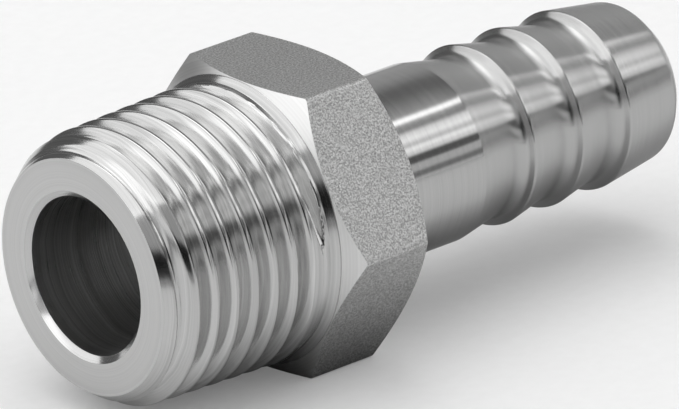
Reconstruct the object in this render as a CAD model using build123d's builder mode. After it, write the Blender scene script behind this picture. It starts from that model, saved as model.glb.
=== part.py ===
from build123d import *
from math import atan, ceil, cos, degrees, radians, sqrt, tan
import os

os.makedirs("parts", exist_ok=True)

# Sizes in mm. A station is a distance along the centre line from the threaded end.

# Tapered male pipe thread, right-handed
threads_per_inch = 14
thread_angle = 55.0
thread_taper = 1 / 16
thread_depth = 1.16
crest_end_diameter = 20.4
face_diameter = 17.7
lead_chamfer_length = 2.1
threaded_length = 13.7
# Where the groove starts to run out, measured about the centre line from the -Y side upwards
runout_angle = 32.0

# Relief and collar between the thread and the hexagon
relief_width = 0.8
relief_depth = 0.2
relief_chamfer = 0.25
collar_length = 0.65
# How far the collar stands above the last crest
collar_rise = 0.29

# Hexagon
across_flats = 21.85
hex_edge_fillet = 0.4
hex_length = 8.05
hex_chamfer_angle = 31.0
# How far inside the flats the back face's rim lies
hex_back_step = 0.45

# Hose tail
neck_diameter = 13.76
neck_length = 9.75
first_ramp_length = 4.9
barb_count = 3
barb_diameter = 13.9
barb_height = 1.0
barb_pitch = 4.8
barb_root_chamfer = 0.4
last_ramp_length = 6.25
nose_diameter = 12.4
nose_chamfer = 1.0

# Waterway, drilled wider from the threaded end
thread_bore_diameter = 11.9
thread_bore_depth = 19.0
thread_bore_chamfer_length = 0.35
thread_bore_chamfer_width = 0.5
drill_point_angle = 118.0
tail_bore_diameter = 9.0
tail_bore_chamfer = 0.25

# How far a cutting profile reaches past the surface that it cuts
overcut = 0.2

# Stations and radii that follow
pitch = 25.4 / threads_per_inch
collar_start = threaded_length + relief_width
hex_front = collar_start + collar_length
hex_back = hex_front + hex_length
neck_end = hex_back + neck_length
last_barb = neck_end + first_ramp_length + (barb_count - 1) * barb_pitch
overall_length = last_barb + last_ramp_length

last_crest = crest_end_diameter / 2 + threaded_length * thread_taper / 2
relief_radius = last_crest - relief_depth
collar_radius = last_crest + collar_rise
hex_corner_radius = across_flats / 2 / cos(radians(30))
hex_back_radius = across_flats / 2 - hex_back_step
neck_radius = neck_diameter / 2
barb_radius = barb_diameter / 2
barb_root_radius = barb_radius - barb_height
nose_radius = nose_diameter / 2
thread_bore_radius = thread_bore_diameter / 2
tail_bore_radius = tail_bore_diameter / 2

# The centre line runs along X, with a flat of the hexagon down and the lowest point on Z = 0
centre_height = max(across_flats / 2, collar_radius)
centre_line = Axis((-overall_length / 2, 0, centre_height), (1, 0, 0))
# Turned profiles are drawn as (station, radius), level with the centre line,
# so that their seams lie a quarter turn from the start of the thread's helix
profile_plane = Plane(origin=centre_line.position, x_dir=(1, 0, 0), z_dir=(0, 0, 1))


def on_centre_line(station):
    return centre_line.position + Vector(station, 0, 0)


def crest_radius(station):
    return crest_end_diameter / 2 + station * thread_taper / 2


def hex_chamfer_length(radius):
    return (hex_corner_radius - radius) * tan(radians(hex_chamfer_angle))


def groove_half_width(height):
    return groove_root_width / 2 + height * tan(radians(thread_angle / 2))


def groove_section(centre, travel):
    """Thread groove's profile, across its travel and open outwards."""
    outwards = Vector(0, centre.Y - centre_line.position.Y, centre.Z - centre_line.position.Z)
    depth = thread_depth + overcut
    with BuildSketch(Plane(origin=centre, x_dir=outwards.normalized(), z_dir=travel)) as section:
        with BuildLine():
            Polyline(
                (0, -groove_root_width / 2),
                (depth, -groove_half_width(depth)),
                (depth, groove_half_width(depth)),
                (0, groove_root_width / 2),
                close=True,
            )
        make_face()
    return section.sketch


def turned(*corners, mode=Mode.ADD):
    """Revolve a closed profile of (station, radius) corners about the centre line."""
    with BuildSketch(profile_plane) as profile:
        with BuildLine():
            Polyline(*corners, close=True)
        make_face()
    revolve(profile.sketch, axis=centre_line, mode=mode)


# Crests and roots are equally wide
groove_root_width = pitch / 2 - thread_depth * tan(radians(thread_angle / 2))

with BuildPart() as hexagon:
    with BuildSketch(Plane(origin=on_centre_line(hex_front), x_dir=(0, 1, 0), z_dir=(1, 0, 0))) as hex_section:
        RegularPolygon(across_flats / 2, 6, major_radius=False)
        fillet(hex_section.vertices(), radius=hex_edge_fillet)
    extrude(amount=hex_length)
    turned(
        (hex_front, 0),
        (hex_front, collar_radius),
        (hex_front + hex_chamfer_length(collar_radius), hex_corner_radius),
        (hex_back - hex_chamfer_length(hex_back_radius), hex_corner_radius),
        (hex_back, hex_back_radius),
        (hex_back, 0),
        mode=Mode.INTERSECT,
    )

with BuildPart() as barb_adapter:
    # Blank of the thread
    turned(
        (0, 0),
        (0, face_diameter / 2),
        (lead_chamfer_length, crest_radius(lead_chamfer_length)),
        (threaded_length, last_crest),
        (threaded_length, relief_radius),
        (collar_start, relief_radius),
        (collar_start, 0),
    )

    # The helix starts above the centre line, ahead of the end face, and ends at runout_angle
    last_part_turn = (90 - runout_angle) / 360
    lead_in = groove_half_width(thread_depth + overcut)
    turns = ceil((threaded_length + lead_in) / pitch - last_part_turn) + last_part_turn
    groove_start = threaded_length - turns * pitch
    with BuildLine() as groove_path:
        Helix(
            pitch,
            turns * pitch,
            crest_radius(groove_start) - thread_depth,
            center=on_centre_line(groove_start),
            direction=centre_line.direction,
            cone_angle=degrees(atan(thread_taper / 2)),
        )
    start_section = groove_section(groove_path.line @ 0, groove_path.line % 0)
    sweep(start_section, path=groove_path.line, is_frenet=True, mode=Mode.SUBTRACT)
    # Past the helix the groove goes straight on, and so rises out of the round blank
    end_section = groove_section(groove_path.line @ 1, groove_path.line % 1)
    runout_length = sqrt(last_crest**2 - (last_crest - thread_depth) ** 2)
    extrude(end_section, amount=runout_length + overcut, mode=Mode.SUBTRACT)

    # Collar, with a chamfer in the relief's corner
    turned(
        (collar_start - relief_chamfer, 0),
        (collar_start - relief_chamfer, relief_radius),
        (collar_start, relief_radius + relief_chamfer),
        (collar_start, collar_radius),
        (hex_front, collar_radius),
        (hex_front, 0),
    )
    add(hexagon.part)

    # Hose tail: a plain neck, then a ramp down to each barb and a last one to the nose
    tail = [(hex_back, 0), (hex_back, neck_radius), (neck_end, neck_radius)]
    for number in range(barb_count):
        barb = neck_end + first_ramp_length + number * barb_pitch
        tail.append((barb - barb_root_chamfer, barb_root_radius))
        tail.append((barb, barb_root_radius + barb_root_chamfer))
        tail.append((barb, barb_radius))
    tail.append((overall_length - nose_chamfer, nose_radius))
    tail.append((overall_length, nose_radius - nose_chamfer))
    tail.append((overall_length, 0))
    turned(*tail)

    # Waterway
    drill_point_length = (thread_bore_radius - tail_bore_radius) / tan(radians(drill_point_angle / 2))
    turned(
        (-overcut, 0),
        (-overcut, thread_bore_radius + thread_bore_chamfer_width),
        (0, thread_bore_radius + thread_bore_chamfer_width),
        (thread_bore_chamfer_length, thread_bore_radius),
        (thread_bore_depth, thread_bore_radius),
        (thread_bore_depth + drill_point_length, tail_bore_radius),
        (overall_length - tail_bore_chamfer, tail_bore_radius),
        (overall_length, tail_bore_radius + tail_bore_chamfer),
        (overall_length + overcut, tail_bore_radius + tail_bore_chamfer),
        (overall_length + overcut, 0),
        mode=Mode.SUBTRACT,
    )

barb_adapter.part.label = "barb_adapter"
export_step(barb_adapter.part, "parts/barb_adapter.step")
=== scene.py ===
import bpy
from math import atan2, cos, degrees, hypot, pi, radians, sin, tan
from mathutils import Matrix, Vector


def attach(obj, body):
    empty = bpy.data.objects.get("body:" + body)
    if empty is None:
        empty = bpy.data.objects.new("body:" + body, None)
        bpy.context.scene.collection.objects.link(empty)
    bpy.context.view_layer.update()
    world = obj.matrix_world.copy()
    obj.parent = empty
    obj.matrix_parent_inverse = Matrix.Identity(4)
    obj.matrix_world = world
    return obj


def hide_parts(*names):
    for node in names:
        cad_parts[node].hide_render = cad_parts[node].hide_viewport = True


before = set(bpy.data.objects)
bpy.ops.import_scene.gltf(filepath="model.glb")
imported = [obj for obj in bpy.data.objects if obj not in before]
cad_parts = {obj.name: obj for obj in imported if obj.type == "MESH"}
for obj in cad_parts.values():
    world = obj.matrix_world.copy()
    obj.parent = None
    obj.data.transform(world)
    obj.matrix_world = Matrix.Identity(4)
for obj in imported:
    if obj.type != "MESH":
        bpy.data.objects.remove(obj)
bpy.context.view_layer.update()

mm = 0.001

# Sizes are in mm, as in the part's source. A station is a distance along the centre line from
# the threaded end, and an angle goes round it from the -Y side upwards.
fitting = {"length": 53.7, "centreHeight": 10.925, "columns": 288, "rowGap": 2.1}


def place(station, radius, angle=90.0):
    turn = radians(angle)
    return Vector((
        (station - fitting["length"] / 2) * mm,
        -radius * cos(turn) * mm,
        (fitting["centreHeight"] + radius * sin(turn)) * mm,
    ))


def stationOf(point):
    return point.x / mm + fitting["length"] / 2


def radiusOf(point):
    return hypot(point.y / mm, point.z / mm - fitting["centreHeight"])


def angleOf(point):
    return degrees(atan2(point.z / mm - fitting["centreHeight"], -point.y / mm)) % 360


def deselectAll():
    if bpy.context.object and bpy.context.object.mode != "OBJECT":
        bpy.ops.object.mode_set(mode="OBJECT")
    bpy.ops.object.select_all(action="DESELECT")


def selectOnly(*pieces):
    deselectAll()
    for piece in pieces:
        piece.select_set(True)
    bpy.context.view_layer.objects.active = pieces[0]


# A rounded corner takes at most this share of each run beside it, and a step for so many degrees.
rounding = {"mostOfRun": 0.48, "degreesPerStep": 13, "fewestSteps": 3}


# A corner between two straight runs, eased over the same distance along both where they have room.
def easedCorner(before, corner, after, run, steps):
    corner = Vector(corner)
    back, ahead = Vector(before) - corner, Vector(after) - corner
    start = corner + back.normalized() * min(run, back.length * rounding["mostOfRun"])
    end = corner + ahead.normalized() * min(run, ahead.length * rounding["mostOfRun"])
    line = []
    for step in range(steps + 1):
        t = step / steps
        point = start * (1 - t) ** 2 + corner * 2 * t * (1 - t) + end * t ** 2
        line.append((point.x, point.y))
    return line


# Corners are (station, radius, fillet).
def roundedLine(corners):
    line = [corners[0][:2]]
    for before, corner, after in zip(corners, corners[1:], corners[2:]):
        if not corner[2]:
            line.append(corner[:2])
            continue
        back = Vector(before[:2]) - Vector(corner[:2])
        ahead = Vector(after[:2]) - Vector(corner[:2])
        half = back.angle(ahead) / 2
        steps = max(rounding["fewestSteps"], round(degrees(pi - 2 * half) / rounding["degreesPerStep"]))
        line += easedCorner(before[:2], corner[:2], after[:2], corner[2] / tan(half), steps)
    line.append(corners[-1][:2])
    return line


# Long runs get rows in between, no further apart than gap.
def easedLine(corners, gap):
    line = roundedLine(corners)
    spaced = [line[0]]
    for here, there in zip(line, line[1:]):
        pieces = int(hypot(there[0] - here[0], there[1] - here[1]) / gap) + 1
        for piece in range(1, pieces + 1):
            t = piece / pieces
            spaced.append((here[0] + (there[0] - here[0]) * t, here[1] + (there[1] - here[1]) * t))
    return spaced


# The turned blank: collar, hexagon's stock, hose tail, waterway and end face. The thread's own
# surface is made apart, and meets the blank at the collar's joint and at the start of the lead.
collar = {"reliefRadius": 10.428, "coneStart": 14.58, "joint": 14.7, "coneEnd": 15.07, "coneFillet": 0.06,
          "radius": 10.905, "end": 15.11, "seamDepth": 0.07}
hexagon = {"front": 15.15, "back": 23.2, "acrossFlats": 21.85, "frontRadius": 10.918, "backRadius": 10.475,
           "chamferAngle": 31.0, "stockRadius": 12.2, "stockMargin": 1, "rows": 6,
           "edgeBevel": 0.2, "bevelSteps": 3, "edgeSlack": 0.01, "shortestEdge": 0.5}
hoseTail = {"neckRadius": 6.88, "neckEnd": 32.95, "neckFillet": 0.35, "ramp": 4.9, "rampFillet": 0.6,
            "pitch": 4.8, "barbs": 3, "crestRadius": 6.95, "crestFillet": 0.2,
            # a barb's slope in degrees, at distances ahead of its crest
            "hollow": [(0, 60), (0.21, 60), (0.33, 44), (0.5, 24), (0.72, 12), (1.0, 3), (1.35, -7),
                       (1.7, -12)],
            "rowsPerBend": 3, "noseStart": 52.7, "noseRadius": 6.2, "noseFillet": 0.9,
            "noseEndRadius": 5.2, "endFillet": 0.12}
waterway = {"tailRadius": 4.5, "tailChamfer": 0.25, "tailFillet": 0.1, "threadRadius": 5.95, "depth": 19.0,
            "drillPoint": 0.871, "mouth": 0.35, "mouthFillet": 0.08, "mouthRadius": 6.45,
            "faceFillet": 0.05, "faceRadius": 8.85, "rimFillet": 0.08, "leadStart": 0.2,
            "leadRadius": 8.985}


def coneRadius(station):
    rise = (collar["radius"] - collar["reliefRadius"]) / (collar["coneEnd"] - collar["coneStart"])
    return collar["reliefRadius"] + (station - collar["coneStart"]) * rise


def stockStation(row):
    h = hexagon
    length = h["back"] - h["front"] - 2 * h["stockMargin"]
    return h["front"] + h["stockMargin"] + length * row / (h["rows"] - 1)


# Each ramp ends in a hollow, which rises gently and then steeply to the barb's crest.
def barbLine(crest):
    line = [(crest, hoseTail["crestRadius"], hoseTail["crestFillet"])]
    bends = hoseTail["hollow"]
    for (near, nearSlope), (far, farSlope) in zip(bends, bends[1:]):
        rows = 1 if nearSlope == farSlope else hoseTail["rowsPerBend"]
        run = (far - near) / rows
        for row in range(rows):
            slope = nearSlope + (farSlope - nearSlope) * (row + 0.5) / rows
            line.insert(0, (line[0][0] - run, line[0][1] - run * tan(radians(slope)), 0))
    return line


def blankLine():
    c, h, t, w = collar, hexagon, hoseTail, waterway
    corners = [
        (c["joint"], coneRadius(c["joint"]), 0),
        (c["coneEnd"], c["radius"], c["coneFillet"]),
        (c["end"], c["radius"] - c["seamDepth"], 0),
        (h["front"], h["frontRadius"], 0),
    ]
    for row in range(h["rows"]):
        corners.append((stockStation(row), h["stockRadius"], 0))
    corners += [
        (h["back"], h["backRadius"], 0),
        (h["back"], t["neckRadius"], t["neckFillet"]),
        (t["neckEnd"], t["neckRadius"], t["rampFillet"]),
    ]
    for number in range(t["barbs"]):
        corners += barbLine(t["neckEnd"] + t["ramp"] + number * t["pitch"])
    corners += [
        (t["noseStart"], t["noseRadius"], t["noseFillet"]),
        (fitting["length"], t["noseEndRadius"], t["endFillet"]),
        (fitting["length"], w["tailRadius"] + w["tailChamfer"], 0),
        (fitting["length"] - w["tailChamfer"], w["tailRadius"], w["tailFillet"]),
        (w["depth"] + w["drillPoint"], w["tailRadius"], 0),
        (w["depth"], w["threadRadius"], 0),
        (w["mouth"], w["threadRadius"], w["mouthFillet"]),
        (0, w["mouthRadius"], w["faceFillet"]),
        (0, w["faceRadius"], w["rimFillet"]),
        (w["leadStart"], w["leadRadius"], 0),
    ]
    return easedLine(corners, fitting["rowGap"])


# Vertices nearer than these distances are merged, and thinner faces are dissolved.
cleaning = {"merge": 0.002, "sliver": 0.0005}


def turnBlank():
    points = blankLine()
    deselectAll()
    bpy.ops.mesh.primitive_plane_add(size=mm, location=place(*points[0]))
    blank = bpy.context.object
    blank.name = "barbAdapter"
    bpy.ops.object.transform_apply(location=True, rotation=True, scale=True)
    bpy.ops.object.mode_set(mode="EDIT")
    bpy.ops.mesh.merge(type="CENTER")                   # the plane becomes the line's first point
    for here, there in zip(points, points[1:]):
        bpy.ops.mesh.extrude_vertices_move(TRANSFORM_OT_translate={"value": place(*there) - place(*here)})
    bpy.ops.mesh.select_all(action="SELECT")
    bpy.ops.mesh.spin(steps=fitting["columns"], angle=2 * pi, center=place(0, 0), axis=(1, 0, 0))
    bpy.ops.mesh.select_all(action="SELECT")
    bpy.ops.mesh.remove_doubles(threshold=cleaning["merge"] * mm)
    bpy.ops.object.mode_set(mode="OBJECT")
    print("turned blank:", len(points), "rows,", len(blank.data.vertices), "vertices")
    return blank


# The hexagon is milled from its stock, and its chamfers meet the flats in curves.
def flatRadius(angle):
    return hexagon["acrossFlats"] / 2 / cos(radians(angle % 60 - 30))


def millHexagon(blank):
    h = hexagon
    slope = tan(radians(h["chamferAngle"]))
    columnAngle = 360 / fitting["columns"]
    firstRow, lastRow = stockStation(0), stockStation(h["rows"] - 1)
    for vertex in blank.data.vertices:
        if radiusOf(vertex.co) < (h["stockRadius"] + h["acrossFlats"] / 2) / 2:
            continue
        angle = round(angleOf(vertex.co) / columnAngle) * columnAngle
        radius = flatRadius(angle)
        part = (stationOf(vertex.co) - firstRow) / (lastRow - firstRow)
        front = h["front"] + (radius - h["frontRadius"]) * slope
        back = h["back"] - (radius - h["backRadius"]) * slope
        vertex.co = place(front + (back - front) * part, radius, angle)


# The six long edges lose their sharpness.
def easeLongEdges(blank):
    h = hexagon
    selectOnly(blank)
    bpy.ops.object.mode_set(mode="EDIT")
    bpy.ops.mesh.select_mode(type="EDGE")
    bpy.ops.mesh.select_all(action="DESELECT")
    bpy.ops.object.mode_set(mode="OBJECT")
    corner = h["acrossFlats"] / 2 / cos(radians(30)) - h["edgeSlack"]
    for edge in blank.data.edges:
        start, end = (blank.data.vertices[index].co for index in edge.vertices)
        onCorner = min(radiusOf(start), radiusOf(end)) > corner
        edge.select = onCorner and (start - end).length > h["shortestEdge"] * mm
    bpy.ops.object.mode_set(mode="EDIT")
    bpy.ops.mesh.bevel(offset=h["edgeBevel"] * mm, segments=h["bevelSteps"], profile=0.5, clamp_overlap=False)
    bpy.ops.mesh.select_mode(type="VERT")
    bpy.ops.object.mode_set(mode="OBJECT")
    print("hexagon milled:", len(blank.data.vertices), "vertices")


# The thread: one groove wound along a cone, with rows of vertices along each of its edges. Its
# taper is on the radius, and its groove leaves the helix at the run-out's angle.
thread = {"pitch": 25.4 / 14, "flankAngle": 27.5, "taper": 1 / 32, "depth": 1.16, "crestStart": 10.2,
          "leadEnd": 2.1, "length": 13.7, "runout": 32.0, "grooves": 8, "edgePasses": 8,
          "crestWidth": 0.3, "crestEase": 0.105, "crestSteps": 3, "rootEase": 0.12, "rootSteps": 2,
          "shoulder": 13.62, "snap": 0.001}
relief = {"start": 13.74, "lean": 0.03, "edgeFillet": 0.05, "cornerFillet": 0.12, "rowGap": 0.07}
flankRun = tan(radians(thread["flankAngle"]))
rootWidth = thread["pitch"] / 2 - thread["depth"] * flankRun
# as many as grooveRows gives
rowsPerGroove = 2 * (thread["crestSteps"] + 1) + 2 * (thread["rootSteps"] + 1) + 3


def crestRadius(station):
    return thread["crestStart"] + station * thread["taper"]


def threadBlank(station):
    start, startRadius = waterway["leadStart"], waterway["leadRadius"]
    slope = (crestRadius(thread["leadEnd"]) - startRadius) / (thread["leadEnd"] - start)
    return min(crestRadius(station), startRadius + (station - start) * slope)


def onBlank(station):
    return station, threadBlank(station)


# A groove's middle and its root's radius, on the line at this part of a turn. At its end it goes
# straight on, and so rises out of the round blank.
def grooveAt(number, part):
    t = thread
    atRunout = t["length"] + t["pitch"] * t["runout"] / 360
    centre = atRunout - (t["grooves"] - 1 - number) * t["pitch"] - t["pitch"] * part
    root = crestRadius(centre) - t["depth"]
    left = t["runout"] / 360 - part
    if number == t["grooves"] - 1 and left > 0:
        root = (crestRadius(t["length"]) - t["depth"]) / cos(2 * pi * left)
    return centre, root


# Where a flank meets the blank, found in a few passes because the blank's radius changes there.
def grooveEdge(centre, root, side):
    halfWidth = rootWidth / 2
    for attempt in range(thread["edgePasses"]):
        halfWidth = rootWidth / 2 + (threadBlank(centre + side * halfWidth) - root) * flankRun
    return centre + side * halfWidth


def cutRadius(station, radius, part):
    for number in range(thread["grooves"]):
        centre, root = grooveAt(number, part)
        radius = min(radius, root + max(abs(station - centre) - rootWidth / 2, 0) / flankRun)
    return radius


# A groove's section, with eased crests and roots and a row midway along each of its straight runs.
def grooveRows(centre, root, front, rear):
    t = thread
    corners = [
        onBlank(front - t["crestWidth"]),
        onBlank(front),
        (centre - rootWidth / 2, root),
        (centre + rootWidth / 2, root),
        onBlank(rear),
        onBlank(rear + t["crestWidth"]),
    ]
    atCrest, atRoot = (t["crestEase"], t["crestSteps"]), (t["rootEase"], t["rootSteps"])
    rows = []
    for index, (run, steps) in enumerate((atCrest, atRoot, atRoot, atCrest), start=1):
        before, corner, after = corners[index - 1:index + 2]
        if index > 1:
            rows.append(((before[0] + corner[0]) / 2, (before[1] + corner[1]) / 2))
        rows += easedCorner(before, corner, after, run, steps)
    return rows


# Rows stay between the thread's ends, and none turns back over the one before.
def orderedRows(rows, part):
    start, end = waterway["leadStart"], thread["shoulder"]
    kept = []
    furthest = start
    for station, radius in rows:
        if station > end - thread["snap"]:
            station = end
        if furthest < station < end:
            kept.append((station, min(radius, threadBlank(station))))
        else:
            station = min(max(station, furthest), end)
            kept.append((station, cutRadius(station, threadBlank(station), part)))
        furthest = station
    return kept


def threadLine(part, reliefLine):
    start, end = waterway["leadStart"], thread["shoulder"]
    rows = [onBlank(start)]
    edge = start
    for number in range(thread["grooves"]):
        centre, root = grooveAt(number, part)
        cut = root < threadBlank(centre)
        front = grooveEdge(centre, root, -1) if cut else centre
        rear = grooveEdge(centre, root, 1) if cut else centre
        rows.append(onBlank((edge + min(max(front, start), end)) / 2))
        rows += grooveRows(centre, root, front, rear) if cut else [onBlank(centre)] * rowsPerGroove
        edge = min(max(rear, start), end)
    rows += [onBlank((edge + end) / 2), onBlank(end)]
    reliefRows = [(station, cutRadius(station, radius, part)) for station, radius in reliefLine]
    return orderedRows(rows, part) + reliefRows


def cutThread():
    columns, shoulder = fitting["columns"], thread["shoulder"]
    reliefLine = easedLine([
        (shoulder, threadBlank(shoulder), 0),
        (relief["start"] - relief["lean"], threadBlank(shoulder), relief["edgeFillet"]),
        (relief["start"], collar["reliefRadius"], relief["cornerFillet"]),
        (collar["coneStart"], collar["reliefRadius"], relief["cornerFillet"]),
        (collar["joint"], coneRadius(collar["joint"]), 0),
    ], relief["rowGap"])[1:]
    lines = [threadLine(column / columns, reliefLine) for column in range(columns + 1)]
    rowCount = len(lines[0])
    deselectAll()
    bpy.ops.mesh.primitive_grid_add(x_subdivisions=columns, y_subdivisions=rowCount - 1, size=1)
    shank = bpy.context.object
    # the grid reaches from -0.5 to 0.5, with its columns round the thread and its rows along it
    for vertex in shank.data.vertices:
        column = round((vertex.co.x + 0.5) * columns)
        row = round((vertex.co.y + 0.5) * (rowCount - 1))
        station, radius = lines[column][row]
        vertex.co = place(station, radius, 360 * column / columns)
    print("thread cut:", rowCount, "rows")
    return shank


smoothing = {"sharpAngle": 36, "weight": 80}            # edges that turn more than the angle stay sharp


def joinParts(blank, shank):
    selectOnly(blank, shank)
    bpy.ops.object.join()
    joined = bpy.context.object
    bpy.ops.object.mode_set(mode="EDIT")
    bpy.ops.mesh.select_all(action="SELECT")
    bpy.ops.mesh.remove_doubles(threshold=cleaning["merge"] * mm)
    bpy.ops.mesh.dissolve_degenerate(threshold=cleaning["sliver"] * mm)
    bpy.ops.mesh.normals_make_consistent(inside=False)
    bpy.ops.object.mode_set(mode="OBJECT")
    bpy.ops.object.shade_smooth_by_angle(angle=radians(smoothing["sharpAngle"]))
    # broad faces keep their own normals, and the roundings between them take all the turn
    weighted = joined.modifiers.new("broadFaces", "WEIGHTED_NORMAL")
    weighted.keep_sharp = True
    weighted.weight = smoothing["weight"]
    bpy.ops.object.modifier_apply(modifier=weighted.name)
    return joined


def reportMesh(piece):
    uses = {}
    for polygon in piece.data.polygons:
        for key in polygon.edge_keys:
            uses[key] = uses.get(key, 0) + 1
    print("open edges:", sum(1 for count in uses.values() if count != 2),
          "triangles:", sum(len(polygon.vertices) - 2 for polygon in piece.data.polygons))


blank = turnBlank()
millHexagon(blank)
easeLongEdges(blank)
adapter = joinParts(blank, cutThread())
reportMesh(adapter)


def newGroup(name, inputs, outputs):
    group = bpy.data.node_groups.new(name, "ShaderNodeTree")
    for label, value in inputs:
        socket = group.interface.new_socket(name=label, in_out="INPUT", socket_type="NodeSocketFloat")
        socket.default_value = value
    for label in outputs:
        group.interface.new_socket(name=label, in_out="OUTPUT", socket_type="NodeSocketFloat")
    start, end = group.nodes.new("NodeGroupInput"), group.nodes.new("NodeGroupOutput")
    return group, start.outputs, end.inputs


# A socket takes either a plain value or another node's output.
def feed(tree, socket, value):
    if isinstance(value, bpy.types.NodeSocket):
        tree.links.new(value, socket)
    else:
        socket.default_value = value


def addNode(tree, kind, settings=None, **sockets):
    node = tree.nodes.new(kind)
    for key, value in (settings or {}).items():
        setattr(node, key, value)
    for key, value in sockets.items():
        feed(tree, node.inputs[key], value)
    return node


def mathNode(tree, operation, *values):
    node = addNode(tree, "ShaderNodeMath", {"operation": operation})
    for socket, value in zip(node.inputs, values):
        feed(tree, socket, value)
    return node.outputs[0]


def oneMinus(tree, value):
    return mathNode(tree, "SUBTRACT", 1.0, value)


def mixed(tree, a, b, share):
    aPart, bPart = mathNode(tree, "MULTIPLY", a, share), mathNode(tree, "MULTIPLY", b, 1 - share)
    return mathNode(tree, "ADD", aPart, bPart)


def noise(tree, where, **sockets):
    return addNode(tree, "ShaderNodeTexNoise", Vector=where, **sockets).outputs[0]


def lineNoise(tree, where, **sockets):
    return addNode(tree, "ShaderNodeTexNoise", {"noise_dimensions": "1D"}, W=where, **sockets).outputs[0]


def mapRange(tree, value, start, end, low, high, kind="LINEAR"):
    limits = {"From Min": start, "From Max": end, "To Min": low, "To Max": high}
    node = addNode(tree, "ShaderNodeMapRange", {"interpolation_type": kind}, Value=value, **limits)
    return node.outputs["Result"]


# Noise keeps near a half, so only what lies within reach of it is spread between low and high.
def spreadNoise(tree, value, low, high, reach=0.2):
    return mapRange(tree, value, 0.5 - reach, 0.5 + reach, low, high)


# Fine rings that a turning tool leaves, round the centre line or on a face across it.
ringLook = {"driftScale": 260.0, "roughness": 0.7, "bandScale": 0.21, "ringShare": 0.6}


def makeTurningMarks():
    inputs = [("Rings Per Metre", 9000.0), ("Across Face", 0.0), ("Wander", 0.1)]
    group, start, end = newGroup("turningMarks", inputs, ["Height", "Tone"])
    where = addNode(group, "ShaderNodeTexCoord").outputs["Object"]
    toCentre = (0, 0, -fitting["centreHeight"] * mm)
    centred = addNode(group, "ShaderNodeMapping", Vector=where, Location=toCentre).outputs[0]
    axes = addNode(group, "ShaderNodeSeparateXYZ", Vector=centred).outputs
    ySquare = mathNode(group, "MULTIPLY", axes["Y"], axes["Y"])
    zSquare = mathNode(group, "MULTIPLY", axes["Z"], axes["Z"])
    outwards = mathNode(group, "SQRT", mathNode(group, "ADD", ySquare, zSquare))
    along = mathNode(group, "MULTIPLY", axes["X"], oneMinus(group, start["Across Face"]))
    across = mathNode(group, "MULTIPLY", outwards, start["Across Face"])
    line = mathNode(group, "MULTIPLY", mathNode(group, "ADD", along, across), start["Rings Per Metre"])
    drift = noise(group, centred, Scale=ringLook["driftScale"], Detail=2.0)
    line = mathNode(group, "ADD", line, mathNode(group, "MULTIPLY", drift, start["Wander"]))
    rings = lineNoise(group, line, Scale=1.0, Detail=3.0, Roughness=ringLook["roughness"])
    bands = lineNoise(group, line, Scale=ringLook["bandScale"], Detail=2.0)
    feed(group, end["Height"], rings)
    feed(group, end["Tone"], mixed(group, rings, bands, ringLook["ringShare"]))
    return group


# The sandy skin of a casting: round grains and a slow rise and fall. The pits' scale is a share
# of the grains'.
grainLook = {"roughness": 0.62, "swellScale": 620.0, "pitScale": 0.55, "pitDepth": 0.4}


def makeCastGrain():
    inputs = [("Grains Per Metre", 5200.0), ("Swell", 0.35)]
    group, start, end = newGroup("castGrain", inputs, ["Height", "Speckle"])
    where = addNode(group, "ShaderNodeTexCoord").outputs["Object"]
    grains = start["Grains Per Metre"]
    fine = noise(group, where, Scale=grains, Detail=4.0, Roughness=grainLook["roughness"])
    slow = noise(group, where, Scale=grainLook["swellScale"], Detail=2.0)
    pitScale = mathNode(group, "MULTIPLY", grains, grainLook["pitScale"])
    pits = addNode(group, "ShaderNodeTexVoronoi", {"feature": "F1"}, Vector=where, Scale=pitScale)
    swell = mathNode(group, "MULTIPLY", slow, start["Swell"])
    pitted = mathNode(group, "MULTIPLY", pits.outputs["Distance"], grainLook["pitDepth"])
    feed(group, end["Height"], mathNode(group, "ADD", mathNode(group, "ADD", fine, swell), pitted))
    feed(group, end["Speckle"], fine)
    return group


# Faint patches where the surface was handled or wiped.
def makeHandling():
    group, start, end = newGroup("handling", [("Patches Per Metre", 120.0)], ["Patch"])
    where = addNode(group, "ShaderNodeTexCoord").outputs["Object"]
    patches = noise(group, where, Scale=start["Patches Per Metre"], Detail=5.0, Roughness=0.6, Distortion=0.4)
    feed(group, end["Patch"], patches)
    return group


turningMarks, castGrain, handling = makeTurningMarks(), makeCastGrain(), makeHandling()
print("shader groups made")

# Finishes with rings are turned or drilled, and the one with grain is as cast. Spread is how
# strongly the gloss is drawn out one way, and rings and grain are counted per metre.
finishes = {
    "turnedThread": {"rings": 8000, "acrossFace": 0, "wander": 1.6, "dark": 0.42, "light": 0.68,
                     "roughness": (0.11, 0.19), "bump": 0.7, "bumpHeight": 0.005},
    "facedEnd": {"rings": 7000, "acrossFace": 1, "wander": 0.8, "dark": 0.56, "light": 0.66,
                 "roughness": (0.34, 0.46), "bump": 0.4, "bumpHeight": 0.003},
    "turnedChamfer": {"rings": 6000, "acrossFace": 1, "wander": 0.8, "dark": 0.65, "light": 0.75,
                      "roughness": (0.28, 0.38), "bump": 0.4, "bumpHeight": 0.003},
    "castHexagon": {"grain": 7000, "dark": 0.33, "light": 0.67, "roughness": (0.30, 0.44),
                    "bump": 1.0, "bumpHeight": 0.036},
    "turnedNeck": {"rings": 9000, "acrossFace": 0, "wander": 1.2, "dark": 0.46, "light": 0.54,
                   "roughness": (0.11, 0.15), "spread": 0.85, "bump": 0.5, "bumpHeight": 0.0025},
    "polishedTail": {"rings": 11000, "acrossFace": 0, "wander": 0.8, "dark": 0.48, "light": 0.54,
                     "roughness": (0.20, 0.26), "spread": 0.98, "bump": 0.4, "bumpHeight": 0.0015},
    "drilledBore": {"rings": 6000, "acrossFace": 0, "wander": 3.0, "dark": 0.44, "light": 0.78,
                    "roughness": (0.22, 0.40), "bump": 0.9, "bumpHeight": 0.018},
}
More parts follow.
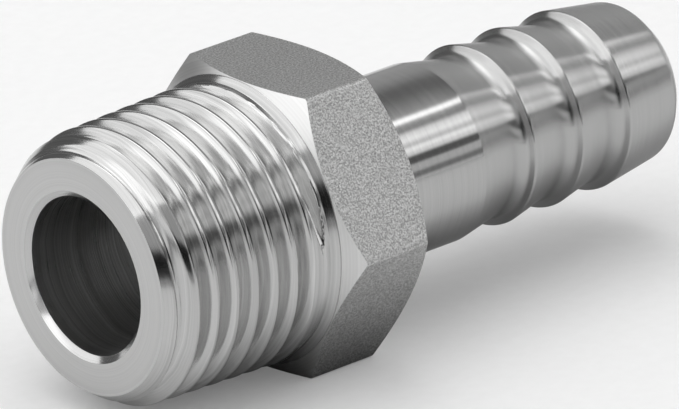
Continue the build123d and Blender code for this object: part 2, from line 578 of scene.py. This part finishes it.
steelLook = {"blueShare": 0.995, "grainReach": 0.1, "ringReach": 0.2, "quarterTurn": 0.25, "maskShare": 0.5}


def grey(value):
    return (value, value, value * steelLook["blueShare"], 1)


# The pattern's node, the output that its tones follow, and how far that output is spread.
def steelPattern(tree, finish):
    if "grain" in finish:
        values = {"Grains Per Metre": finish["grain"]}
        pattern = addNode(tree, "ShaderNodeGroup", {"node_tree": castGrain}, **values)
        return pattern, pattern.outputs["Speckle"], steelLook["grainReach"]
    values = {"Rings Per Metre": finish["rings"], "Across Face": finish["acrossFace"],
              "Wander": finish["wander"]}
    pattern = addNode(tree, "ShaderNodeGroup", {"node_tree": turningMarks}, **values)
    return pattern, pattern.outputs["Tone"], steelLook["ringReach"]


def steel(name, finish):
    material = bpy.data.materials.new(name)
    material.use_nodes = True
    tree = material.node_tree
    shader = tree.nodes["Principled BSDF"].inputs
    shader["Metallic"].default_value = 1.0
    if "spread" in finish:
        tangent = addNode(tree, "ShaderNodeTangent", {"direction_type": "RADIAL", "axis": "X"})
        shader["Anisotropic"].default_value = finish["spread"]
        shader["Anisotropic Rotation"].default_value = steelLook["quarterTurn"]
        feed(tree, shader["Tangent"], tangent.outputs[0])
    pattern, mask, reach = steelPattern(tree, finish)
    tone = addNode(tree, "ShaderNodeMix", {"data_type": "RGBA"}, Factor=spreadNoise(tree, mask, 0, 1, reach),
                   A=grey(finish["dark"]), B=grey(finish["light"]))
    feed(tree, shader["Base Color"], tone.outputs["Result"])
    wiped = addNode(tree, "ShaderNodeGroup", {"node_tree": handling}).outputs["Patch"]
    worn = mixed(tree, mask, wiped, steelLook["maskShare"])
    feed(tree, shader["Roughness"], spreadNoise(tree, worn, *finish["roughness"]))
    bump = addNode(tree, "ShaderNodeBump", Strength=finish["bump"], Distance=finish["bumpHeight"] * mm,
                   Height=pattern.outputs["Height"])
    feed(tree, shader["Normal"], bump.outputs["Normal"])
    return material


# Where the finishes meet. Slacks are small distances past a boundary that still count as before it.
borders = {"threadBoreRadius": 6.6, "threadBoreStart": 0.36, "tailBoreRadius": 5.2, "facingIn": 0.1,
           "endSlack": 0.01, "collarSlack": 0.002, "backSlack": 0.01, "aboveNeck": 0.4, "flatTilt": 0.3}


def finishOf(centre, normal):
    b, h = borders, hexagon
    station, radius = stationOf(centre), radiusOf(centre)
    outwards = Vector((0, centre.y, centre.z - fitting["centreHeight"] * mm)).normalized()
    facing = normal.dot(outwards)
    if radius < b["threadBoreRadius"] and b["threadBoreStart"] < station < h["back"] and facing < 0:
        return "drilledBore"
    if radius < b["tailBoreRadius"] and facing < b["facingIn"]:
        return "drilledBore"
    if station < b["endSlack"]:
        return "facedEnd"
    if station < h["front"] + b["collarSlack"]:
        return "turnedThread"
    if station < h["back"] + b["backSlack"] and radius > hoseTail["neckRadius"] + b["aboveNeck"]:
        return "castHexagon" if abs(normal.x) < b["flatTilt"] else "turnedChamfer"
    return "turnedNeck" if station < hoseTail["neckEnd"] else "polishedTail"


finishNames = list(finishes)
adapter.data.materials.clear()
for name in finishNames:
    adapter.data.materials.append(steel(name, finishes[name]))
for polygon in adapter.data.polygons:
    polygon.material_index = finishNames.index(finishOf(polygon.center, polygon.normal))
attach(adapter, "root")
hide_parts("barb_adapter")
print("adapter finished")

# The floor's sizes are in metres. Shade is painted shade in the floor's colour, which only the metal's
# reflections see:
# deeper under the fitting, and the floor's light dying away far off. Each pair there is where a change starts
# and ends, or its values.
paperFloor = {
    "size": 6.0, "drop": 0.00002, "tone": 0.83, "roughness": 0.85, "specular": 0.15, "fibreScale": 900.0,
    "fibreTone": (0.985, 1.015), "glow": 0.13,
}
shade = {
    "beside": (0.016, 0.004), "behindEnd": (-0.026, -0.01),
    "deepestAt": -0.009, "deepReach": (0.018, 0.008), "deepness": (0.42, 0.8),
    "farAlong": (0.0, -0.1), "farAcross": (-0.02, 0.06), "farReach": (0.1, 0.45), "farLoss": (0.0, 0.7),
}


def fade(tree, value, limits, values=(0, 1)):
    return mapRange(tree, value, *limits, *values, "SMOOTHSTEP")


# painted shade: the floor's colour as the metal's reflections see it, darkened under the fitting and far off
def paintedMirroredShade(tree, where):
    axes = addNode(tree, "ShaderNodeSeparateXYZ", Vector=where).outputs
    distance = addNode(tree, "ShaderNodeVectorMath", {"operation": "LENGTH"})
    feed(tree, distance.inputs[0], where)
    side = mathNode(tree, "ABSOLUTE", axes["Y"])
    under = mathNode(tree, "MULTIPLY", fade(tree, side, shade["beside"]),
                     fade(tree, axes["X"], shade["behindEnd"]))
    fromDeepest = mathNode(tree, "ABSOLUTE", mathNode(tree, "SUBTRACT", axes["X"], shade["deepestAt"]))
    deepness = fade(tree, fromDeepest, shade["deepReach"], shade["deepness"])
    depth = oneMinus(tree, mathNode(tree, "MULTIPLY", under, deepness))
    elsewhere = mathNode(tree, "MAXIMUM", fade(tree, axes["X"], shade["farAlong"]),
                         fade(tree, axes["Y"], shade["farAcross"]))
    far = fade(tree, distance.outputs["Value"], shade["farReach"], shade["farLoss"])
    return mathNode(tree, "MULTIPLY", depth, oneMinus(tree, mathNode(tree, "MULTIPLY", elsewhere, far)))


def palePaper():
    material = bpy.data.materials.new("palePaper")
    material.use_nodes = True
    tree = material.node_tree
    shader = tree.nodes["Principled BSDF"].inputs
    shader["Roughness"].default_value = paperFloor["roughness"]
    shader["Specular IOR Level"].default_value = paperFloor["specular"]
    shader["Emission Color"].default_value = (1, 1, 1, 1)
    where = addNode(tree, "ShaderNodeTexCoord").outputs["Object"]
    fibre = noise(tree, where, Scale=paperFloor["fibreScale"], Detail=3.0)
    tone = mathNode(tree, "MULTIPLY", spreadNoise(tree, fibre, *paperFloor["fibreTone"]), paperFloor["tone"])
    ray = addNode(tree, "ShaderNodeLightPath").outputs
    # for glossy rays only, the paper's colour carries the painted shade
    chosen = addNode(tree, "ShaderNodeMix", {"data_type": "FLOAT"}, Factor=ray["Is Glossy Ray"], A=1.0,
                     B=paintedMirroredShade(tree, where))
    feed(tree, shader["Base Color"], mathNode(tree, "MULTIPLY", tone, chosen.outputs["Result"]))
    # seen directly, the paper is overexposed to near white
    glow = mathNode(tree, "MULTIPLY", ray["Is Camera Ray"], paperFloor["glow"])
    feed(tree, shader["Emission Strength"], glow)
    return material


deselectAll()
bpy.ops.mesh.primitive_plane_add(size=paperFloor["size"], location=(0, 0, -paperFloor["drop"]))
floor = bpy.context.object
floor.name = "floor"
floor.data.materials.append(palePaper())

# Radiances are linear, and the lamp's sizes are in metres. The low sky ends at a gap, which lies on
# a plane through the room: a constant, and slopes along X and Y.
studio = {
    "lampDistance": 1.5, "overhead": {"azimuth": 148, "elevation": 58, "size": (2.35, 2.9), "radiance": 1.2},
    "gapPlane": (0.078, 0.095, -0.237),
    # light at heights above that plane
    "skyStops": [(-0.09, 0.68), (-0.045, 0.68), (-0.02, 0.13), (0.02, 0.13), (0.06, 0.13), (0.1, 0.13)],
    "backdrop": 0.86,
    # a panel is seen only in directions this far ahead, and nothing is divided by less than the first
    "leastAhead": 0.001, "frontOnly": 0.1,
}
# Panels stand in the room's far field, in a direction seen from the fitting. Across, soft and the
# stops' heights are tangents of angles from a panel's middle, before the roll turns it.
panels = {
    "cameraWall": {"azimuth": -122, "elevation": 34, "roll": 0, "across": (-0.6, 0.6), "soft": 0.1,
                   "stops": [(-0.26, 0.0), (-0.14, 0.32), (0.3, 0.32), (0.5, 0.0)]},
    "leftWall": {"azimuth": 180, "elevation": 10, "roll": 0, "across": (-0.5, 0.6), "soft": 0.1,
                 "stops": [(-0.16, 0.0), (-0.12, 0.85), (-0.02, 0.85), (0.03, 0.4), (0.3, 0.5), (0.5, 0.0)]},
    "farWall": {"azimuth": 20, "elevation": 12, "roll": 0, "across": (-1.0, 0.62), "soft": 0.12,
                "stops": [(-0.3, 0.31), (0.3, 0.31), (0.42, 0.24), (0.6, 0.03), (0.8, 0.0)]},
    "overheadGlow": {"azimuth": 20, "elevation": 60, "roll": 0, "across": (-0.6, 0.6), "soft": 0.22,
                     "stops": [(-0.21, 0.0), (-0.13, 0.16), (-0.02, 0.6), (0.1, 1.1), (0.4, 1.1),
                               (0.6, 0.0)]},
    "stripedSide": {"azimuth": -30, "elevation": 30, "roll": 27, "across": (-0.28, 1.0), "soft": 0.03,
                    "stops": [(-0.36, 0.0), (-0.25, 0.0), (-0.18, 1.0), (-0.10, 1.4), (-0.03, 0.8),
                              (0.07, 1.4), (0.14, 1.2), (0.24, 0.1), (0.33, 0.05), (0.38, 1.7),
                              (0.42, 1.7), (0.47, 0.0)]},
}
# Dark cards take light away, and are sized as the panels are.
darkCards = {
    "cameraCard": {"azimuth": -124, "elevation": 12, "roll": 0, "across": (-0.5, 0.7), "soft": 0.2,
                   "stops": [(-0.24, 0.0), (-0.13, 0.97), (0.16, 0.97), (0.27, 0.0)]},
    "thinCard": {"azimuth": -38, "elevation": 6, "roll": 0, "across": (-0.5, 0.6), "soft": 0.15,
                 "stops": [(-0.07, 0.0), (-0.03, 0.65), (0.03, 0.65), (0.07, 0.0)]},
}


def towards(azimuth, elevation):
    a, e = radians(azimuth), radians(elevation)
    return Vector((cos(a) * cos(e), sin(a) * cos(e), sin(e)))


# The sideways and upward directions across a line of sight, turned about it by roll.
def acrossSight(azimuth, elevation, roll):
    level, rise = towards(azimuth - 90, 0), towards(azimuth, elevation + 90)
    turn = radians(roll)
    return level * cos(turn) + rise * sin(turn), rise * cos(turn) - level * sin(turn)


def softbox(name, azimuth, elevation, size, radiance):
    deselectAll()
    away = towards(azimuth, elevation)
    bpy.ops.object.light_add(type="AREA", location=away * studio["lampDistance"])
    lamp = bpy.context.object
    lamp.name = name
    lamp.rotation_euler = away.to_track_quat("Z", "Y").to_euler()
    lamp.data.shape = "RECTANGLE"
    lamp.data.size, lamp.data.size_y = size
    lamp.data.energy = radiance * pi * size[0] * size[1]
    lamp.visible_camera = False


def along(tree, view, direction):
    node = addNode(tree, "ShaderNodeVectorMath", {"operation": "DOT_PRODUCT"})
    feed(tree, node.inputs[0], view)
    node.inputs[1].default_value = direction
    return node.outputs["Value"]


def ramp(tree, value, stops):
    low, high = stops[0][0], stops[-1][0]
    colours = addNode(tree, "ShaderNodeValToRGB", Fac=mapRange(tree, value, low, high, 0, 1))
    colours.color_ramp.interpolation = "EASE"
    elements = colours.color_ramp.elements
    while len(elements) < len(stops):
        elements.new(0.5)
    for element, (position, light) in zip(elements, stops):
        element.position = (position - low) / (high - low)
        element.color = (light, light, light, 1)
    return colours.outputs["Color"]


def roomPanel(tree, view, azimuth, elevation, roll, across, soft, stops):
    toSide, toTop = acrossSight(azimuth, elevation, roll)
    ahead = mathNode(tree, "MAXIMUM", along(tree, view, towards(azimuth, elevation)), studio["leastAhead"])
    sideways = mathNode(tree, "DIVIDE", along(tree, view, toSide), ahead)
    upwards = mathNode(tree, "DIVIDE", along(tree, view, toTop), ahead)
    window = mathNode(tree, "MULTIPLY", fade(tree, sideways, (across[0] - soft, across[0] + soft)),
                      fade(tree, sideways, (across[1] + soft, across[1] - soft)))
    window = mathNode(tree, "MULTIPLY", window, mathNode(tree, "GREATER_THAN", ahead, studio["frontOnly"]))
    return mathNode(tree, "MULTIPLY", ramp(tree, upwards, stops), window)


def lightRoom():
    world = bpy.data.worlds.new("studioRoom")
    bpy.context.scene.world = world
    world.use_nodes = True
    tree = world.node_tree
    view = addNode(tree, "ShaderNodeTexCoord").outputs["Generated"]
    constant, alongX, alongY = studio["gapPlane"]
    height = mathNode(tree, "SUBTRACT", along(tree, view, (-alongX, -alongY, 1)), constant)
    light = ramp(tree, height, studio["skyStops"])
    for panel in panels.values():
        light = mathNode(tree, "ADD", light, roomPanel(tree, view, **panel))
    for card in darkCards.values():
        light = mathNode(tree, "MULTIPLY", light, oneMinus(tree, roomPanel(tree, view, **card)))
    # seen directly, behind the floor's edge, the room is pale
    seen = addNode(tree, "ShaderNodeLightPath").outputs["Is Camera Ray"]
    light = mathNode(tree, "ADD", mathNode(tree, "MULTIPLY", light, oneMinus(tree, seen)),
                     mathNode(tree, "MULTIPLY", seen, studio["backdrop"]))
    feed(tree, tree.nodes["Background"].inputs["Color"], light)


# The camera's place is in metres, and its angles are the direction that it looks in.
camera = {"at": (-0.433457, -0.489365, 0.283575), "azimuth": 48.6115, "elevation": -22.807, "roll": -1.248,
          "lens": 514.267, "sensorWidth": 36, "farthest": 20}


def placeCamera():
    bpy.ops.object.camera_add()
    eye = bpy.context.object
    eye.name = "camera"
    right, up = acrossSight(camera["azimuth"], camera["elevation"], camera["roll"])
    forward = towards(camera["azimuth"], camera["elevation"])
    turn = Matrix((right, up, -forward)).transposed().to_4x4()
    eye.matrix_world = Matrix.Translation(camera["at"]) @ turn
    eye.data.sensor_fit = "HORIZONTAL"
    eye.data.sensor_width = camera["sensorWidth"]
    eye.data.lens = camera["lens"]
    eye.data.clip_end = camera["farthest"]
    bpy.context.scene.camera = eye


softbox("overhead", **studio["overhead"])
lightRoom()
placeCamera()
bpy.context.scene.view_settings.view_transform = "Standard"
print("studio set")
